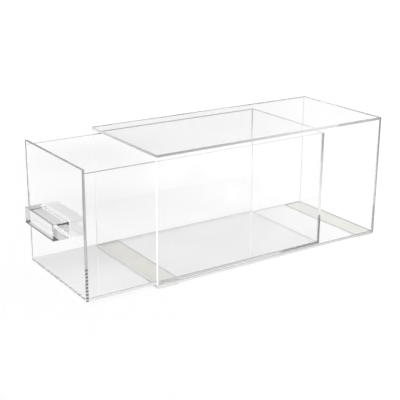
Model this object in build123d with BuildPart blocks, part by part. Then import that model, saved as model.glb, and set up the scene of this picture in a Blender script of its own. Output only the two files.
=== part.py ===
from build123d import *
import os

# Clear acrylic drawer box for rolls of decorative paper tape: an open-fronted case on two foot strips,
# and an open-topped drawer that slides out of its front. Lengths are in millimetres.
# Front is -Y, up is +Z. The origin is the middle of the footprint, on the surface the box stands on.

# Driving dimensions: the clear sheet
sheet = 2.0  # thickness of every panel
edge_bevel = 0.2  # polished bevel on the panel edges that lie open

# Driving dimensions: the case
case_length = 220.0  # front edges to back face
case_width = 100.0  # across the outer faces of the sides
case_height = 103.0  # underside of the floor to the upper face of the top

# Driving dimensions: the foot strips
foot_thickness = 1.0
foot_width = 20.0  # front to back
foot_inset = 0.5  # from each side of the case to the end of a strip
foot_corner = 1.5  # corner radius seen from above

# Driving dimensions: the drawer
pull_out = 58.4  # how far the drawer stands out of the case
front_clearance = 0.3  # edges of the drawer front to the case sides and to the underside of the case top
side_clearance = 0.5  # outer face of each drawer side to the inner face of the case
running_clearance = 0.2  # drawer underside to the case floor
rear_clearance = 0.5  # closed drawer to the case back
rim_drop = 3.1  # upper edge of the drawer front down to the rim of the drawer's sides and back

# Driving dimensions: the handle block
handle_length = 48.0
handle_depth = 13.0
handle_height = 13.0
handle_drop = 1.5  # from mid-height of the drawer front down to mid-height of the block
handle_bevel = 0.4

# Levels
case_base = foot_thickness
case_floor_level = case_base + sheet
case_top_level = case_base + case_height
case_ceiling = case_top_level - sheet
drawer_base = case_floor_level + running_clearance
drawer_floor_level = drawer_base + sheet
front_top = case_ceiling - front_clearance
drawer_rim = front_top - rim_drop
handle_level = (drawer_base + front_top) / 2 - handle_drop

# Positions from front to back
overall_length = handle_depth + pull_out + case_length
front_face = handle_depth - overall_length / 2
front_inside = front_face + sheet
case_front = front_face + pull_out
case_rear = case_front + case_length
case_back_inside = case_rear - sheet
drawer_rear = front_face + case_length - sheet - rear_clearance
drawer_back_inside = drawer_rear - sheet

# Positions across
case_side = case_width / 2
case_side_inside = case_side - sheet
drawer_side = case_side_inside - side_clearance
drawer_side_inside = drawer_side - sheet
front_side = case_side_inside - front_clearance
side_signs = {"right": 1, "left": -1}

os.makedirs("parts", exist_ok=True)


def save(piece, name):
    """Label a finished piece and write it under its own name."""
    piece.part.label = name
    export_step(piece.part, f"parts/{name}.step")


def middle(first, last):
    """The point halfway between two positions on one axis."""
    return (first + last) / 2


# Case floor: the full width of the case, under both sides and in front of the back
with BuildPart() as case_floor:
    with BuildSketch(Plane.XY.offset(case_base)):
        with Locations((0, middle(case_front, case_back_inside))):
            Rectangle(case_width, case_back_inside - case_front)
    extrude(amount=sheet)
    underside = case_floor.edges().group_by(Axis.Z)[0]
    chamfer(underside - underside.group_by(Axis.Y)[-1], edge_bevel)
save(case_floor, "case_floor")

# Case sides: they stand on the floor and carry the top
for side, sign in side_signs.items():
    with BuildPart() as case_panel:
        with BuildSketch(Plane.XZ.offset(-case_front)):
            with Locations((sign * middle(case_side_inside, case_side), middle(case_floor_level, case_ceiling))):
                Rectangle(sheet, case_ceiling - case_floor_level)
        extrude(amount=case_front - case_back_inside)
        chamfer(case_panel.edges().filter_by(Axis.Z).group_by(Axis.Y)[0], edge_bevel)
    save(case_panel, f"case_{side}_side")

# Case back: closes the rear from the underside of the floor to the underside of the top
with BuildPart() as case_back:
    with BuildSketch(Plane.XZ.offset(-case_back_inside)):
        with Locations((0, middle(case_base, case_ceiling))):
            Rectangle(case_width, case_ceiling - case_base)
    extrude(amount=-sheet)
    rear_edges = case_back.edges().group_by(Axis.Y)[-1]
    chamfer(rear_edges - rear_edges.group_by(Axis.Z)[-1], edge_bevel)
save(case_back, "case_back")

# Case top: laps over the sides and the back
with BuildPart() as case_top:
    with BuildSketch(Plane.XY.offset(case_ceiling)):
        with Locations((0, middle(case_front, case_rear))):
            Rectangle(case_width, case_length)
    extrude(amount=sheet)
    chamfer(case_top.edges().group_by(Axis.Z)[-1], edge_bevel)
save(case_top, "case_top")

# Foot strips: one under the front edge of the case and one under its rear edge
foot_positions = {"front": case_front + foot_width / 2, "rear": case_rear - foot_width / 2}
for end, foot_middle in foot_positions.items():
    with BuildPart() as foot_strip:
        with BuildSketch():
            with Locations((0, foot_middle)):
                RectangleRounded(case_width - 2 * foot_inset, foot_width, foot_corner)
        extrude(amount=foot_thickness)
    save(foot_strip, f"{end}_foot_strip")

# Drawer front: fits inside the mouth of the case and covers the front ends of the drawer's floor and sides
with BuildPart() as drawer_front:
    with BuildSketch(Plane.XZ.offset(-front_face)):
        with Locations((0, middle(drawer_base, front_top))):
            Rectangle(2 * front_side, front_top - drawer_base)
    extrude(amount=-sheet)
    chamfer(drawer_front.edges().group_by(Axis.Y)[0], edge_bevel)
save(drawer_front, "drawer_front")

# Drawer floor: under both drawer sides, between the front and the back
with BuildPart() as drawer_floor:
    with BuildSketch(Plane.XY.offset(drawer_base)):
        with Locations((0, middle(front_inside, drawer_back_inside))):
            Rectangle(2 * drawer_side, drawer_back_inside - front_inside)
    extrude(amount=sheet)
    chamfer(drawer_floor.edges().group_by(Axis.Z)[0].filter_by(Axis.Y), edge_bevel)
save(drawer_floor, "drawer_floor")

# Drawer sides: they stand on the drawer floor, lower than the drawer front
for side, sign in side_signs.items():
    with BuildPart() as drawer_panel:
        with BuildSketch(Plane.XZ.offset(-front_inside)):
            with Locations((sign * middle(drawer_side_inside, drawer_side), middle(drawer_floor_level, drawer_rim))):
                Rectangle(sheet, drawer_rim - drawer_floor_level)
        extrude(amount=front_inside - drawer_back_inside)
        chamfer(drawer_panel.edges().group_by(Axis.Z)[-1].filter_by(Axis.Y), edge_bevel)
    save(drawer_panel, f"drawer_{side}_side")

# Drawer back: covers the rear ends of the drawer's floor and sides, level with their rim
with BuildPart() as drawer_back:
    with BuildSketch(Plane.XZ.offset(-drawer_back_inside)):
        with Locations((0, middle(drawer_base, drawer_rim))):
            Rectangle(2 * drawer_side, drawer_rim - drawer_base)
    extrude(amount=-sheet)
    chamfer(drawer_back.edges().group_by(Axis.Y)[-1], edge_bevel)
save(drawer_back, "drawer_back")

# Handle: a solid clear block welded to the outer face of the drawer front
with BuildPart() as drawer_handle:
    with BuildSketch(Plane.XZ.offset(-front_face)):
        with Locations((0, handle_level)):
            Rectangle(handle_length, handle_height)
    extrude(amount=handle_depth)
    chamfer(drawer_handle.edges() - drawer_handle.edges().group_by(Axis.Y)[-1], handle_bevel)
save(drawer_handle, "drawer_handle")
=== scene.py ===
import math

import bmesh
import bpy
from mathutils import Matrix, Vector


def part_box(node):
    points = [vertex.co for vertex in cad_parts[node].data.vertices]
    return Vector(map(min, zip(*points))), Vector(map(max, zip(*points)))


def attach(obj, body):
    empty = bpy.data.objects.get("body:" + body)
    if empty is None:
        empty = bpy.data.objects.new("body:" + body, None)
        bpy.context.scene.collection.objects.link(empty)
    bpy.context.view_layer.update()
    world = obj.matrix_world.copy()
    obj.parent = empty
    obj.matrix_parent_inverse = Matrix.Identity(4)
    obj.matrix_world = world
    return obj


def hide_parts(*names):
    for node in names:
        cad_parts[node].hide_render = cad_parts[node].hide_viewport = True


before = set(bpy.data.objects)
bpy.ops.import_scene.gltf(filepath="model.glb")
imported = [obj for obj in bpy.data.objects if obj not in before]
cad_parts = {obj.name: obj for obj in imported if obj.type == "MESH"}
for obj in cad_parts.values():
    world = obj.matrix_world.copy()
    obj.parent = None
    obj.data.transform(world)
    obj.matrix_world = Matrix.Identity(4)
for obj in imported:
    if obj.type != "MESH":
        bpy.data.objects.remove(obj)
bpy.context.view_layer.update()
scene = bpy.context.scene

CASE_PANELS = ("case_floor", "case_right_side", "case_left_side", "case_back", "case_top")
DRAWER_PANELS = (
    "drawer_front",
    "drawer_floor",
    "drawer_right_side",
    "drawer_left_side",
    "drawer_back",
    "drawer_handle",
)
FOOT_STRIPS = ("front_foot_strip", "rear_foot_strip")

# Places of the acrylic's materials on a welded body
CLEAR, CUT, DULL, GLOWING = range(4)

# Tidying the CAD's meshes (metres, radians), and telling their faces apart
SAME_PLACE = 1e-6
SAME_PLANE = 0.01
SQUARE_ON = 0.9
THICKEST_SHEET = 0.005

# Camera, read off the straight edges of the box in the photograph (metres, degrees, pixels)
CAMERA_FROM_CASE = (0.5889, -0.3246, 0.2793)
CAMERA_YAW = 56.12
CAMERA_PITCH = 18.45
CAMERA_ROLL = 0.38
FOCAL_PIXELS = 916.0
FRAME_PIXELS = 400
SENSOR_WIDTH = 36.0

# Clear acrylic: how much light is left after crossing a sheet or the handle bar, and its smudges
ACRYLIC_IOR = 1.49
SHEET_SHADE = 0.985
HANDLE_SHADE = 0.88
SMUDGE_SCALE = 22.0
SMUDGE_DETAIL = 4.0
SMUDGE_DEPTH = 0.01
CLOUD_RANGE = (0.3, 0.7)

# Cut edges: partly clear, mostly matte and finely grained; the darkest are matte all through
EDGE_ROUGHNESS = 0.12
EDGE_CLEAR_SHARE = 0.3
DULL_UP_TO = 0.25
GRAIN_SCALE = 900.0
GRAIN_DETAIL = 2.0
GRAIN_DEPTH = 0.08

# Glowing edges: their paint, and the soft white light that they give of their own, painted light in
# place of the light their sheet gathers
GLOW_PAINT = 0.6
PAINTED_GLOW_STRENGTH = 0.54

# Painted dashes: dark bands with soft borders at the foot of some upright edges, painted shade standing
# in for the dashed refraction seen there
MARKS_TOP = 0.030
MARKS_FADE = 0.002
MARKS_PITCH = 0.0027
MARKS_BORDER = 0.3
MARKS_DEPTH = 0.8
MARKED_EDGES = {("drawer_front", "+x"), ("drawer_back", "+x")}

# Shade of the cut edges, partly the grey of sawn acrylic and partly painted shade and painted light for
# how light falls through the sheets: white ones glow with painted light, and those that aren't in the
# lists below are plain
WHITE = 1.0
GLOWING_FROM = 0.999
PLAIN_EDGE = 0.8

# Cut edges with the same shade from end to end, by the way they face
EVEN_EDGES = {
    ("drawer_front", "+z"): 0.42,
    ("drawer_front", "-z"): WHITE,
    ("drawer_floor", "-x"): 0.85,
    ("case_top", "-x"): 0.1,
    ("case_top", "+y"): 0.35,
    ("case_right_side", "-y"): WHITE,
    ("case_left_side", "-y"): 0.97,
    ("case_back", "-x"): 0.96,
    ("case_back", "-z"): 0.3,
    ("case_floor", "-y"): 0.94,
}

# Cut edges whose painted shade changes along them: pairs of how far along, towards +x, +y or +z, and the
# shade there
CHANGING_EDGES = {
    ("drawer_front", "+x"): ((0, 0.62), (0.3, 0.5), (1, 0.52)),
    ("drawer_front", "-x"): ((0, WHITE), (0.42, WHITE), (0.43, 0.2), (1, 0.2)),
    ("drawer_right_side", "+z"): ((0, 0.5), (0.26, 0.5), (0.29, 0.9), (1, 0.9)),
    ("drawer_left_side", "+z"): ((0, 0.7), (0.26, 0.7), (0.29, 0.05), (1, 0.03)),
    ("drawer_floor", "+x"): ((0, 0.9), (0.26, 0.9), (0.28, 0.6), (0.8, 0.76), (0.83, 0.3), (1, 0.2)),
    ("drawer_back", "+x"): ((0, 0.35), (0.24, 0.35), (0.27, 0.9), (0.5, 0.8), (0.75, 0.55), (1, 0.34)),
    ("drawer_back", "-x"): ((0, WHITE), (0.55, WHITE), (0.75, 0.8), (0.85, 0.2), (1, 0.05)),
    ("drawer_back", "+z"): ((0, 0.05), (0.25, 0.1), (0.5, 0.25), (0.75, 0.5), (1, 0.9)),
    ("drawer_handle", "-z"): ((0, 0.2), (0.41, 0.2), (0.42, 0.97), (1, 0.97)),
    ("drawer_handle", "-x"): ((0, 0.1), (0.12, 0.1), (0.13, 0.9), (1, 0.95)),
    ("case_top", "-y"): ((0, 0.97), (0.14, 0.97), (0.2, 0.87), (0.4, 0.83), (0.6, 0.77), (1, 0.66)),
    ("case_top", "+x"): (
        (0, 0.55),
        (0.3, 0.69),
        (0.58, 0.94),
        (0.64, 0.98),
        (0.77, 0.98),
        (0.79, 0.64),
        (0.95, 0.6),
        (1, 0.42),
    ),
    ("case_back", "+x"): ((0, 0.5), (0.3, 0.5), (0.5, 0.42), (0.75, 0.27), (1, 0.22)),
    ("case_floor", "+x"): ((0, 0.95), (0.7, 0.9), (1, 0.7)),
    ("case_floor", "-x"): ((0, 0.75), (1, 0.4)),
}

# Foot strips: milky ivory rubber a hair under the case, with a dark rim around the top
STRIP_LIGHT = (0.98, 0.97, 0.93)
STRIP_DARK = (0.94, 0.93, 0.88)
STRIP_CLOUD_SCALE = 400.0
STRIP_CLOUD_DETAIL = 3.0
STRIP_CLEAR_SHARE = 0.49
STRIP_ROUGHNESS = 0.3
STRIP_IOR = 1.1
STRIP_GAP = 0.0001
STRIP_RIM = 0.0009
STRIP_RIM_SHADE = 0.15

# Studio: brightness of the surroundings by height (sine of the angle above the horizon, strength),
# and how much brighter they are towards +y
STUDIO_BANDS = ((0.0, 0.8), (0.2, 0.74), (0.45, 0.63), (0.62, 0.2), (0.88, 0.2), (0.94, 0.6))
STUDIO_SIDE_FROM = 0.55
STUDIO_SIDE_TO = 0.65
STUDIO_SIDE_GAIN = 1.25
LIGHT_BOUNCES = 256

# Table top, a hair under the feet: its own glow grows between two places measured from the mouth,
# painted light that is brighter towards the back
FLOOR_DEPTH = 0.0001
FLOOR_HALF = 30.0
FLOOR_PAINT = 0.8
FLOOR_LIT_SHARE = 0.25
FLOOR_GLOW_FRONT = 1.0
FLOOR_GLOW_BACK = 1.1
FLOOR_GLOW_FROM = -0.0257
FLOOR_GLOW_TO = 0.3243

# Painted soft round shadows on the table top left of the case: places from its left front corner (x, y),
# reach and depth
PAINTED_TABLE_SHADOWS = (
    (-0.11, 0.0643, 0.09, 0.13),
    (-0.21, 0.0943, 0.10, 0.05),
    (-0.27, 0.1443, 0.12, 0.13),
)

# The painted shadow on the table top under the open end of the drawer: soft border, how far it reaches
# past the drawer's left side and into the case, and its depth on the left and from some way in
UNDER_BORDER = 0.007
UNDER_LEFT_OVERHANG = 0.010
UNDER_INTO_CASE = 0.0093
UNDER_FADE_WIDTH = 0.0675
UNDER_DEPTH_LEFT = 0.27
UNDER_DEPTH_RIGHT = 0.06


def colour(rgb):
    return (*rgb, 1.0)


def grey(value):
    return (value, value, value, 1.0)


def make_camera():
    """The photograph's camera: it looks down on the mouth of the case from the right."""
    case_low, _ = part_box("case_floor")
    right, ahead, up = CAMERA_FROM_CASE
    place = Matrix.Translation((right, case_low.y + ahead, case_low.z + up))
    turn = (
        Matrix.Rotation(math.radians(CAMERA_YAW), 4, "Z")
        @ Matrix.Rotation(math.radians(90 - CAMERA_PITCH), 4, "X")
        @ Matrix.Rotation(math.radians(CAMERA_ROLL), 4, "Z")
    )
    data = bpy.data.cameras.new("camera")
    data.sensor_width = SENSOR_WIDTH
    data.lens = FOCAL_PIXELS / FRAME_PIXELS * SENSOR_WIDTH
    camera = bpy.data.objects.new("camera", data)
    camera.matrix_world = place @ turn
    scene.collection.objects.link(camera)
    scene.camera = camera


def new_material(name):
    material = bpy.data.materials.new(name)
    material.use_nodes = True
    tree = material.node_tree
    return material, tree, tree.nodes["Principled BSDF"]


def math_node(tree, operation, first, second):
    """A math node fed by sockets or plain numbers."""
    node = tree.nodes.new("ShaderNodeMath")
    node.operation = operation
    for socket, value in zip(node.inputs, (first, second)):
        if isinstance(value, (int, float)):
            socket.default_value = value
        else:
            tree.links.new(value, socket)
    return node.outputs[0]


def spread(tree, value, source, target, smooth=False):
    """A value in the source range carried over to the target range."""
    node = tree.nodes.new("ShaderNodeMapRange")
    if smooth:
        node.interpolation_type = "SMOOTHSTEP"
    node.inputs["From Min"].default_value, node.inputs["From Max"].default_value = source
    node.inputs["To Min"].default_value, node.inputs["To Max"].default_value = target
    tree.links.new(value, node.inputs["Value"])
    return node.outputs["Result"]


def place_on(tree, output="Object"):
    """The x, y and z of the point being shaded or, for the studio, of the way it is seen."""
    coords = tree.nodes.new("ShaderNodeTexCoord")
    split = tree.nodes.new("ShaderNodeSeparateXYZ")
    tree.links.new(coords.outputs[output], split.inputs[0])
    return split.outputs


def cloudy(tree, scale, detail, low, high):
    """Soft cloudy noise in object coordinates, spread between two values."""
    coords = tree.nodes.new("ShaderNodeTexCoord")
    noise = tree.nodes.new("ShaderNodeTexNoise")
    noise.inputs["Scale"].default_value = scale
    noise.inputs["Detail"].default_value = detail
    tree.links.new(coords.outputs["Object"], noise.inputs["Vector"])
    return spread(tree, noise.outputs["Fac"], CLOUD_RANGE, (low, high))


def attribute(tree, name, output="Color"):
    node = tree.nodes.new("ShaderNodeAttribute")
    node.attribute_name = name
    return node.outputs[output]


def scaled(tree, shade, amount):
    """A colour made lighter or darker by a grey amount."""
    node = tree.nodes.new("ShaderNodeVectorMath")
    node.operation = "SCALE"
    tree.links.new(shade, node.inputs[0])
    tree.links.new(amount, node.inputs["Scale"])
    return node.outputs[0]


def clear_sheet():
    """Polished acrylic sheet with faint smudges."""
    material, tree, shader = new_material("clear_sheet")
    smudges = cloudy(tree, SMUDGE_SCALE, SMUDGE_DETAIL, 1 - SMUDGE_DEPTH, 1 + SMUDGE_DEPTH)
    tree.links.new(scaled(tree, attribute(tree, "shade"), smudges), shader.inputs["Base Color"])
    shader.inputs["Transmission Weight"].default_value = 1.0
    shader.inputs["Roughness"].default_value = 0.0
    shader.inputs["IOR"].default_value = ACRYLIC_IOR
    return material


def painted_dashes(tree):
    """How dark the painted dashes make a point, which is nothing off the marked edges or high up."""
    height = place_on(tree)["Z"]
    turns = math_node(tree, "MULTIPLY", height, 2 * math.pi / MARKS_PITCH)
    wave = math_node(tree, "SINE", turns, 0)
    bands = spread(tree, wave, (-MARKS_BORDER, MARKS_BORDER), (0.0, 1.0))
    low_down = spread(tree, height, (MARKS_TOP - MARKS_FADE, MARKS_TOP), (1.0, 0.0))
    marked = math_node(tree, "MULTIPLY", attribute(tree, "marks", "Fac"), low_down)
    return math_node(tree, "MULTIPLY", math_node(tree, "MULTIPLY", bands, marked), MARKS_DEPTH)


def cut_edge(name, clear_share):
    """Sawn and rubbed acrylic with fine grain, carrying the painted edge shades and painted dashes of
    shade at the foot of some edges.
    """
    material, tree, shader = new_material(name)
    grain = cloudy(tree, GRAIN_SCALE, GRAIN_DETAIL, 1 - GRAIN_DEPTH, 1 + GRAIN_DEPTH)
    unmarked = math_node(tree, "SUBTRACT", 1.0, painted_dashes(tree))
    amount = math_node(tree, "MULTIPLY", grain, unmarked)
    tree.links.new(scaled(tree, attribute(tree, "shade"), amount), shader.inputs["Base Color"])
    shader.inputs["Transmission Weight"].default_value = clear_share
    shader.inputs["Specular IOR Level"].default_value = 0.0
    shader.inputs["Roughness"].default_value = EDGE_ROUGHNESS
    shader.inputs["IOR"].default_value = ACRYLIC_IOR
    return material


def painted_glow_edge():
    """A cut edge that shows a soft white by its own painted light, standing in for the light its sheet
    gathers.
    """
    material, tree, shader = new_material("painted_glow_edge")
    darkest = GLOW_PAINT * (1 - GRAIN_DEPTH)
    lightest = GLOW_PAINT * (1 + GRAIN_DEPTH)
    paint = cloudy(tree, GRAIN_SCALE, GRAIN_DETAIL, darkest, lightest)
    tree.links.new(paint, shader.inputs["Base Color"])
    shader.inputs["Specular IOR Level"].default_value = 0.0
    shader.inputs["Emission Color"].default_value = grey(1.0)
    shader.inputs["Emission Strength"].default_value = PAINTED_GLOW_STRENGTH
    return material


def foot_strip_rubber():
    """Milky rubber with a cloudy grain and a darker rim around the top."""
    material, tree, shader = new_material("foot_strip")
    blend = tree.nodes.new("ShaderNodeMix")
    blend.data_type = "RGBA"
    blend.inputs["A"].default_value = colour(STRIP_DARK)
    blend.inputs["B"].default_value = colour(STRIP_LIGHT)
    clouds = cloudy(tree, STRIP_CLOUD_SCALE, STRIP_CLOUD_DETAIL, 0.0, 1.0)
    tree.links.new(clouds, blend.inputs["Factor"])
    rim = attribute(tree, "shade", "Fac")
    tree.links.new(scaled(tree, blend.outputs["Result"], rim), shader.inputs["Base Color"])
    shader.inputs["Transmission Weight"].default_value = STRIP_CLEAR_SHARE
    shader.inputs["Roughness"].default_value = STRIP_ROUGHNESS
    shader.inputs["IOR"].default_value = STRIP_IOR
    return material


def merged(node):
    """A CAD mesh with its loose triangles joined up into flat faces."""
    mesh = bmesh.new()
    mesh.from_mesh(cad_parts[node].data)
    bmesh.ops.remove_doubles(mesh, verts=mesh.verts, dist=SAME_PLACE)
    bmesh.ops.dissolve_limit(mesh, angle_limit=SAME_PLANE, verts=mesh.verts, edges=mesh.edges)
    return mesh


def as_object(mesh, name, *materials):
    data = bpy.data.meshes.new(name)
    mesh.to_mesh(data)
    mesh.free()
    for material in materials:
        data.materials.append(material)
    thing = bpy.data.objects.new(name, data)
    scene.collection.objects.link(thing)
    return thing


def foot_strip(node, rubber):
    """A foot strip with a hair of air under the case."""
    mesh = merged(node)
    shade = mesh.loops.layers.float_color.new("shade")
    _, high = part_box(node)
    for vertex in mesh.verts:
        vertex.co.z = min(vertex.co.z, high.z - STRIP_GAP)
    top = [face for face in mesh.faces if face.normal.z > SQUARE_ON]
    rim = set(bmesh.ops.inset_region(mesh, faces=top, thickness=STRIP_RIM)["faces"])
    for face in mesh.faces:
        for loop in face.loops:
            loop[shade] = grey(STRIP_RIM_SHADE if face in rim else 1.0)
    strip = as_object(mesh, node + "_rubber", rubber)
    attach(strip, "case")
    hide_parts(node)


def sheet_axis(node):
    """The axis across a panel's sheet, or None for the handle bar."""
    low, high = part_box(node)
    sizes = [high[axis] - low[axis] for axis in range(3)]
    axis = sizes.index(min(sizes))
    return axis if sizes[axis] < THICKEST_SHEET else None


def edge_way(face, across):
    """The axis a cut edge faces along, leaving out the one across the sheet, and its name."""
    out = max((axis for axis in range(3) if axis != across), key=lambda axis: abs(face.normal[axis]))
    return out, ("+" if face.normal[out] > 0 else "-") + "xyz"[out]


def edge_run(out, across):
    """The axis a cut edge runs along; the handle bar's end runs up it and its foot back to the panel."""
    if across is None:
        return 2 if out == 0 else 1
    return 3 - across - out


def edge_stops(node, way):
    """Pairs of how far along a cut edge and the shade there."""
    if (node, way) in CHANGING_EDGES:
        return CHANGING_EDGES[node, way]
    shade = EVEN_EDGES.get((node, way), PLAIN_EDGE)
    return ((0, shade), (1, shade))


def shade_at(stops, share):
    """The shade some way along an edge, between the two stops beside it."""
    for (before, first), (after, last) in zip(stops, stops[1:]):
        if share <= after:
            return first + (last - first) * max(0.0, share - before) / (after - before)
    return stops[-1][1]


def cut_at_stops(mesh, node, across):
    """Edge loops across a panel where the shade of one of its edges has a stop."""
    low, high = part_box(node)
    for (panel, way), stops in CHANGING_EDGES.items():
        if panel != node:
            continue
        run = edge_run("xyz".index(way[1]), across)
        for share, _ in stops[1:-1]:
            place = Vector(low)
            place[run] = low[run] + (high[run] - low[run]) * share
            normal = Vector((0, 0, 0))
            normal[run] = 1
            everything = mesh.verts[:] + mesh.edges[:] + mesh.faces[:]
            bmesh.ops.bisect_plane(
                mesh, geom=everything, plane_co=place, plane_no=normal, dist=SAME_PLACE
            )


def acrylic_of(shades):
    """Which of the acrylic's materials a cut edge face with these corner shades has."""
    if min(shades) > GLOWING_FROM:
        return GLOWING
    if max(shades) <= DULL_UP_TO:
        return DULL
    return CUT


def panel_copy(node, materials):
    """A merged copy of a panel or the handle bar, with its clear faces and the shades of its edges."""
    mesh = merged(node)
    across = sheet_axis(node)
    cut_at_stops(mesh, node, across)
    shade = mesh.loops.layers.float_color.new("shade")
    marks = mesh.loops.layers.float_color.new("marks")
    low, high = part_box(node)
    for face in mesh.faces:
        out, way = edge_way(face, across)
        run = edge_run(out, across)
        if across is None:
            clear = (node, way) not in CHANGING_EDGES
            clear_shade = HANDLE_SHADE
        else:
            clear = abs(face.normal[across]) > SQUARE_ON
            clear_shade = SHEET_SHADE
        # A cut edge's corner shades are partly the grey of sawn acrylic and partly painted shade and
        # painted light
        shades = []
        for loop in face.loops:
            share = (loop.vert.co[run] - low[run]) / (high[run] - low[run])
            shades.append(clear_shade if clear else shade_at(edge_stops(node, way), share))
        face.material_index = CLEAR if clear else acrylic_of(shades)
        for loop, corner_shade in zip(face.loops, shades):
            loop[shade] = grey(corner_shade)
            loop[marks] = grey(1.0 if (node, way) in MARKED_EDGES else 0.0)
    return as_object(mesh, node + "_copy", *materials)


def weld(name, panels, body, materials):
    """Panels joined into one clear body, so that light crosses their welded joints."""
    copies = [panel_copy(node, materials) for node in panels]
    for other in copies[1:]:
        union = copies[0].modifiers.new("weld", "BOOLEAN")
        union.operation = "UNION"
        union.solver = "EXACT"
        union.object = other
    graph = bpy.context.evaluated_depsgraph_get()
    data = bpy.data.meshes.new_from_object(copies[0].evaluated_get(graph))
    for copy in copies:
        bpy.data.objects.remove(copy)
    data.name = name
    welded = bpy.data.objects.new(name, data)
    scene.collection.objects.link(welded)
    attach(welded, body)
    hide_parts(*panels)


def glow_by_painted_round_shadow(tree, here, centre, reach, depth):
    """How much of the table top's glow is left by a painted soft round shadow."""
    sideways = math_node(tree, "SUBTRACT", here["X"], centre.x)
    along = math_node(tree, "SUBTRACT", here["Y"], centre.y)
    sideways_squared = math_node(tree, "MULTIPLY", sideways, sideways)
    along_squared = math_node(tree, "MULTIPLY", along, along)
    away = math_node(tree, "SQRT", math_node(tree, "ADD", sideways_squared, along_squared), 0)
    return spread(tree, away, (0.0, reach), (1 - depth, 1.0), smooth=True)


def glow_under_painted_drawer_shadow(tree, here, mouth):
    """How much of the table top's glow is left by a painted shadow under the open end of the drawer."""
    low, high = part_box("drawer_floor")
    left = low.x - UNDER_LEFT_OVERHANG
    back = mouth + UNDER_INTO_CASE
    borders = (
        (here["X"], left, left + UNDER_BORDER),
        (here["X"], high.x, high.x - UNDER_BORDER),
        (here["Y"], low.y, low.y + UNDER_BORDER),
        (here["Y"], back, back - UNDER_BORDER),
    )
    inside = 1.0
    for place, start, end in borders:
        within = spread(tree, place, (start, end), (0.0, 1.0), smooth=True)
        inside = math_node(tree, "MULTIPLY", within, inside)
    fade = (low.x, low.x + UNDER_FADE_WIDTH)
    depths = (UNDER_DEPTH_LEFT, UNDER_DEPTH_RIGHT)
    depth = spread(tree, here["X"], fade, depths, smooth=True)
    return math_node(tree, "SUBTRACT", 1.0, math_node(tree, "MULTIPLY", inside, depth))


def table_top():
    """Matte white that glows a little, with painted light brighter at the back and painted shadows under
    and left of the box.
    """
    material, tree, _ = new_material("floor")
    tree.nodes.clear()
    out = tree.nodes.new("ShaderNodeOutputMaterial")
    paint = tree.nodes.new("ShaderNodeBsdfDiffuse")
    paint.inputs["Color"].default_value = grey(FLOOR_PAINT)
    here = place_on(tree)
    corner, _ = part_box("case_floor")
    lit = FLOOR_PAINT * FLOOR_LIT_SHARE
    ends = [(glow - lit) / (1 - FLOOR_LIT_SHARE) for glow in (FLOOR_GLOW_FRONT, FLOOR_GLOW_BACK)]
    growing = (corner.y + FLOOR_GLOW_FROM, corner.y + FLOOR_GLOW_TO)
    strength = spread(tree, here["Y"], growing, ends, smooth=True)
    for x, y, reach, depth in PAINTED_TABLE_SHADOWS:
        centre = corner + Vector((x, y, 0))
        left_over = glow_by_painted_round_shadow(tree, here, centre, reach, depth)
        strength = math_node(tree, "MULTIPLY", strength, left_over)
    strength = math_node(tree, "MULTIPLY", strength, glow_under_painted_drawer_shadow(tree, here, corner.y))
    glow = tree.nodes.new("ShaderNodeEmission")
    tree.links.new(strength, glow.inputs["Strength"])
    mix = tree.nodes.new("ShaderNodeMixShader")
    mix.inputs["Fac"].default_value = 1 - FLOOR_LIT_SHARE
    tree.links.new(paint.outputs[0], mix.inputs[1])
    tree.links.new(glow.outputs[0], mix.inputs[2])
    tree.links.new(mix.outputs[0], out.inputs["Surface"])
    return material


def make_floor():
    """A wide white table top that keeps a soft shadow."""
    half = FLOOR_HALF
    corners = [(-half, -half), (half, -half), (half, half), (-half, half)]
    data = bpy.data.meshes.new("floor")
    data.from_pydata([(x, y, -FLOOR_DEPTH) for x, y in corners], [], [(0, 1, 2, 3)])
    data.materials.append(table_top())
    floor = bpy.data.objects.new("floor", data)
    scene.collection.objects.link(floor)


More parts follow.
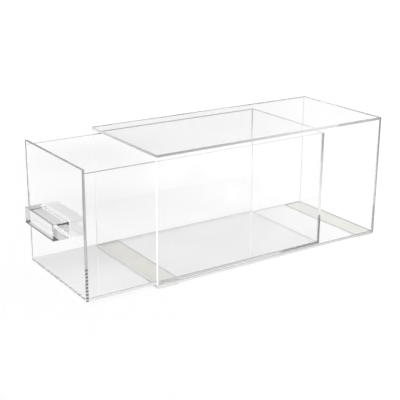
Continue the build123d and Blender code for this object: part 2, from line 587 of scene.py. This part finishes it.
def make_studio():
    """Soft white light on everything matte; the clear panels mirror bands of the room."""
    world = bpy.data.worlds.new("studio")
    scene.world = world
    world.use_nodes = True
    tree = world.node_tree
    tree.nodes.clear()
    out = tree.nodes.new("ShaderNodeOutputWorld")
    background = tree.nodes.new("ShaderNodeBackground")
    way = place_on(tree, "Generated")
    ramp = tree.nodes.new("ShaderNodeValToRGB")
    ramp.color_ramp.interpolation = "EASE"
    tree.links.new(way["Z"], ramp.inputs[0])
    stops = ramp.color_ramp.elements
    for stop, (height, strength) in zip(stops, (STUDIO_BANDS[0], STUDIO_BANDS[-1])):
        stop.position = height
        stop.color = grey(strength)
    for height, strength in STUDIO_BANDS[1:-1]:
        stops.new(height).color = grey(strength)
    side = (STUDIO_SIDE_FROM, STUDIO_SIDE_TO)
    brighter = spread(tree, way["Y"], side, (1.0, STUDIO_SIDE_GAIN), smooth=True)
    bands = scaled(tree, ramp.outputs["Color"], brighter)
    # Light that has left a matte surface has a diffuse depth of one or more
    path = tree.nodes.new("ShaderNodeLightPath")
    lighting = math_node(tree, "GREATER_THAN", path.outputs["Diffuse Depth"], 0.5)
    mix = tree.nodes.new("ShaderNodeMix")
    mix.data_type = "RGBA"
    tree.links.new(lighting, mix.inputs["Factor"])
    tree.links.new(bands, mix.inputs["A"])
    mix.inputs["B"].default_value = grey(1.0)
    tree.links.new(mix.outputs["Result"], background.inputs["Color"])
    tree.links.new(background.outputs[0], out.inputs["Surface"])


make_camera()
acrylic = (
    clear_sheet(),
    cut_edge("cut_edge", EDGE_CLEAR_SHARE),
    cut_edge("dull_edge", 0.0),
    painted_glow_edge(),
)
weld("case_acrylic", CASE_PANELS, "case", acrylic)
weld("drawer_acrylic", DRAWER_PANELS, "drawer", acrylic)
rubber = foot_strip_rubber()
for node in FOOT_STRIPS:
    foot_strip(node, rubber)
make_floor()
make_studio()

scene.view_settings.view_transform = "Standard"
# Light turns back many times inside the sheets, so none of it is cut short or blurred
scene.cycles.max_bounces = LIGHT_BOUNCES
scene.cycles.transmission_bounces = LIGHT_BOUNCES
scene.cycles.glossy_bounces = LIGHT_BOUNCES
scene.cycles.blur_glossy = 0.0
